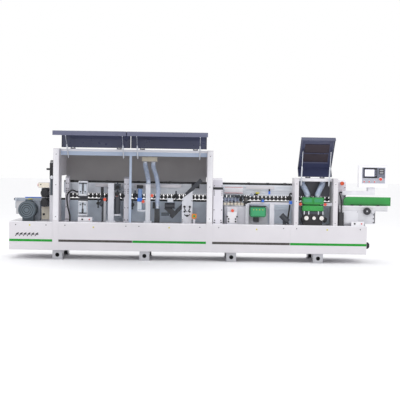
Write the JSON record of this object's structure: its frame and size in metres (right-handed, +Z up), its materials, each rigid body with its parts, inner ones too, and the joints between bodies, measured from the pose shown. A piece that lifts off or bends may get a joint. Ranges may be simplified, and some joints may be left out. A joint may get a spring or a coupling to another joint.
{
  "type": "edge banding machine",
  "caption": "Straight woodworking edge banding machine with lifting hoods over milling and trimming bays, feed chain, height-adjustable pressure beam, glue unit and swivelling control panel.",
  "frame": {"origin": "on the floor at the middle of the rectangle of floor anchor holes", "axes": "+X along the machine to its infeed end, +Y to the rear away from the operator, +Z up"},
  "size_m": [5.885, 1.872, 1.955],
  "materials": {
    "white_enamel": "satin",
    "stripe_paint": "satin",
    "fastener_steel": "zinc plated, satin",
    "foot_grey": "satin",
    "roof_grey": "matt powder coat",
    "hinge_black": "black satin",
    "aluminium_track": "anodised, satin",
    "motor_grey": "hammered enamel",
    "unit_dark": "semi-gloss enamel",
    "frame_grey": "satin enamel",
    "green_enamel": "gloss enamel",
    "glue_frame": "satin enamel",
    "red_plastic": "gloss",
    "hose_plastic": "satin, flexible",
    "cream_plastic": "satin",
    "black_rubber": "matt",
    "hood_navy": "semi-gloss enamel",
    "chromed_rod": "polished",
    "arm_steel": "satin",
    "roller_rubber": "matt",
    "orange_enamel": "gloss",
    "machined_steel": "machined",
    "cream_rubber": "satin",
    "buff_cloth": "stitched cotton cloth"
  },
  "bodies": {
    "machine": {"base_frame": "white_enamel", "base_panels": "white_enamel", "base_stripes": "stripe_paint", "fasteners": "fastener_steel", "machine_feet": "foot_grey", "enclosure_wall_left": "white_enamel", "enclosure_wall_right": "white_enamel", "enclosure_roof": "roof_grey", "enclosure_beam": "white_enamel", "hood_hinges": "hinge_black", "premill_housing": "white_enamel", "track_beam": "aluminium_track", "outfeed_drive": "motor_grey", "outfeed_stand": "frame_grey", "lift_columns": "white_enamel", "infeed_table": "frame_grey", "infeed_fence": "green_enamel", "infeed_cabinet": "frame_grey", "panel_arm": "white_enamel", "control_boxes": "white_enamel", "glue_unit": "glue_frame", "glue_pot": "green_enamel", "trim_frames": "white_enamel", "unit_motors": "unit_dark", "adjust_knobs": "red_plastic", "dust_hoods": "green_enamel", "dust_hoses": "hose_plastic", "dust_manifold": "cream_plastic", "cables": "black_rubber"},
    "hood_left": {"hood_left": "hood_navy"},
    "hood_mid": {"hood_mid": "hood_navy"},
    "hood_right": {"hood_right": "hood_navy"},
    "strut_cylinders_left": {"strut_cylinders_left": "white_enamel"},
    "strut_rods_left": {"strut_rods_left": "chromed_rod"},
    "strut_cylinders_mid": {"strut_cylinders_mid": "white_enamel"},
    "strut_rods_mid": {"strut_rods_mid": "chromed_rod"},
    "strut_cylinders_right": {"strut_cylinders_right": "white_enamel"},
    "strut_rods_right": {"strut_rods_right": "chromed_rod"},
    "pressure_beam": {"pressure_beam": "aluminium_track", "roller_arms": "arm_steel", "pressure_rollers": "roller_rubber"},
    "lift_crank": {"lift_crank": "orange_enamel"},
    "feed_chain": {"feed_chain": "black_rubber"},
    "feed_sprocket": {"feed_sprocket": "machined_steel"},
    "tape_disc": {"tape_disc": "roller_rubber"},
    "premill_cutter_left": {"premill_cutter_left": "machined_steel"},
    "premill_cutter_right": {"premill_cutter_right": "machined_steel"},
    "glue_roller": {"glue_roller": "machined_steel"},
    "press_roller": {"press_roller": "cream_rubber"},
    "end_trim_upper": {"end_trim_upper": "machined_steel"},
    "end_trim_lower": {"end_trim_lower": "machined_steel"},
    "buff_wheel_upper": {"buff_wheel_upper": "buff_cloth"},
    "buff_wheel_lower": {"buff_wheel_lower": "buff_cloth"},
    "control_panel": {"control_panel": "white_enamel"},
    "estop_button": {"estop_button": "red_plastic"},
    "panel_button_1": {"panel_button_1": "red_plastic"},
    "panel_button_2": {"panel_button_2": "red_plastic"},
    "panel_button_3": {"panel_button_3": "red_plastic"},
    "box_button_bay": {"box_button_bay": "red_plastic"},
    "box_button_infeed": {"box_button_infeed": "red_plastic"}
  },
  "joints": [
    {"name": "hood_left_hinge", "type": "hinge", "parent": "machine", "child": "hood_left", "pos_m": [0, -0.262, 1.718], "axis": [1, 0, 0], "range_deg": [0, 90]},
    {"name": "strut_left_pivot", "type": "hinge", "parent": "machine", "child": "strut_cylinders_left", "pos_m": [0, -0.255, 1.575], "axis": [1, 0, 0], "range_deg": [-1, 92.99]},
    {"name": "strut_left_stroke", "type": "slide", "parent": "strut_cylinders_left", "child": "strut_rods_left", "axis": [0, -0.7768, 0.6298], "range_m": [-0.20297, 0.001]},
    {"name": "hood_mid_hinge", "type": "hinge", "parent": "machine", "child": "hood_mid", "pos_m": [0, -0.262, 1.718], "axis": [1, 0, 0], "range_deg": [0, 90]},
    {"name": "strut_mid_pivot", "type": "hinge", "parent": "machine", "child": "strut_cylinders_mid", "pos_m": [0, -0.255, 1.575], "axis": [1, 0, 0], "range_deg": [-1, 92.99]},
    {"name": "strut_mid_stroke", "type": "slide", "parent": "strut_cylinders_mid", "child": "strut_rods_mid", "axis": [0, -0.7768, 0.6298], "range_m": [-0.20297, 0.001]},
    {"name": "hood_right_hinge", "type": "hinge", "parent": "machine", "child": "hood_right", "pos_m": [0, -0.31, 1.317], "axis": [1, 0, 0], "range_deg": [0, 134]},
    {"name": "strut_right_pivot", "type": "hinge", "parent": "machine", "child": "strut_cylinders_right", "pos_m": [0, -0.325, 1.195], "axis": [1, 0, 0], "range_deg": [-1, 137.8]},
    {"name": "strut_right_stroke", "type": "slide", "parent": "strut_cylinders_right", "child": "strut_rods_right", "axis": [0, -0.3424, 0.9396], "range_m": [-0.22635, 0.001]},
    {"name": "beam_lift", "type": "slide", "parent": "machine", "child": "pressure_beam", "axis": [0, 0, 1], "range_m": [0, 0.05]},
    {"name": "lift_crank_turn", "type": "hinge", "parent": "machine", "child": "lift_crank", "pos_m": [2.386, -0.2, 1.235], "axis": [0, -1, 0], "range_deg": [0, 721]},
    {"name": "chain_feed", "type": "slide", "parent": "machine", "child": "feed_chain", "axis": [-1, 0, 0], "range_m": [0, 0.0625]},
    {"name": "sprocket_turn", "type": "hinge", "parent": "machine", "child": "feed_sprocket", "pos_m": [-2.666, 0.04, 0.838], "axis": [0, -1, 0], "range_deg": [0, 58]},
    {"name": "tape_disc_spin", "type": "hinge", "parent": "machine", "child": "tape_disc", "pos_m": [2.752, -0.48, 0.814], "axis": [0, -1, 0], "continuous": true},
    {"name": "premill_left_spin", "type": "hinge", "parent": "machine", "child": "premill_cutter_left", "pos_m": [1.848, -0.097, 0.932], "axis": [0, 0, 1], "continuous": true},
    {"name": "premill_right_spin", "type": "hinge", "parent": "machine", "child": "premill_cutter_right", "pos_m": [2.038, -0.097, 0.932], "axis": [0, 0, 1], "continuous": true},
    {"name": "glue_roller_spin", "type": "hinge", "parent": "machine", "child": "glue_roller", "pos_m": [0.9, -0.072, 0.932], "axis": [0, 0, 1], "continuous": true},
    {"name": "press_roller_spin", "type": "hinge", "parent": "machine", "child": "press_roller", "pos_m": [0.65, -0.087, 0.932], "axis": [0, 0, 1], "continuous": true},
    {"name": "end_trim_upper_slide", "type": "slide", "parent": "machine", "child": "end_trim_upper", "axis": [0.7071, 0, 0.7071], "range_m": [0, 0.08]},
    {"name": "end_trim_lower_slide", "type": "slide", "parent": "machine", "child": "end_trim_lower", "axis": [0.7071, 0, 0.7071], "range_m": [0, 0.08]},
    {"name": "buff_upper_spin", "type": "hinge", "parent": "machine", "child": "buff_wheel_upper", "pos_m": [-2.225, -0.07, 1.018], "axis": [0, 1, 0], "continuous": true},
    {"name": "buff_lower_spin", "type": "hinge", "parent": "machine", "child": "buff_wheel_lower", "pos_m": [-2.225, -0.07, 0.87], "axis": [0, 1, 0], "continuous": true},
    {"name": "panel_swivel", "type": "hinge", "parent": "machine", "child": "control_panel", "pos_m": [2.835, -0.29, 1.18], "axis": [0, 0, 1], "range_deg": [-60, 60]},
    {"name": "estop_press", "type": "slide", "parent": "control_panel", "child": "estop_button", "axis": [0, 1, 0], "range_m": [0, 0.006], "stiffness_N_per_m": 900},
    {"name": "panel_button_1_press", "type": "slide", "parent": "control_panel", "child": "panel_button_1", "axis": [0, 1, 0], "range_m": [0, 0.003], "stiffness_N_per_m": 500},
    {"name": "panel_button_2_press", "type": "slide", "parent": "control_panel", "child": "panel_button_2", "axis": [0, 1, 0], "range_m": [0, 0.003], "stiffness_N_per_m": 500},
    {"name": "panel_button_3_press", "type": "slide", "parent": "control_panel", "child": "panel_button_3", "axis": [0, 1, 0], "range_m": [0, 0.003], "stiffness_N_per_m": 500},
    {"name": "box_button_bay_press", "type": "slide", "parent": "machine", "child": "box_button_bay", "axis": [0, 1, 0], "range_m": [0, 0.003], "stiffness_N_per_m": 500},
    {"name": "box_button_infeed_press", "type": "slide", "parent": "machine", "child": "box_button_infeed", "axis": [0, 1, 0], "range_m": [0, 0.003], "stiffness_N_per_m": 500}
  ],
  "couplings": [
    {"joint": "strut_left_pivot", "follows": "hood_left_hinge", "ratio": 1.0221},
    {"joint": "strut_left_stroke", "follows": "hood_left_hinge", "m_per_rad": -0.12858},
    {"joint": "strut_mid_pivot", "follows": "hood_mid_hinge", "ratio": 1.0221},
    {"joint": "strut_mid_stroke", "follows": "hood_mid_hinge", "m_per_rad": -0.12858},
    {"joint": "strut_right_pivot", "follows": "hood_right_hinge", "ratio": 1.0209},
    {"joint": "strut_right_stroke", "follows": "hood_right_hinge", "m_per_rad": -0.096353},
    {"joint": "lift_crank_turn", "follows": "beam_lift", "rad_per_m": 251.33},
    {"joint": "sprocket_turn", "follows": "chain_feed", "rad_per_m": 16.129}
  ]
}
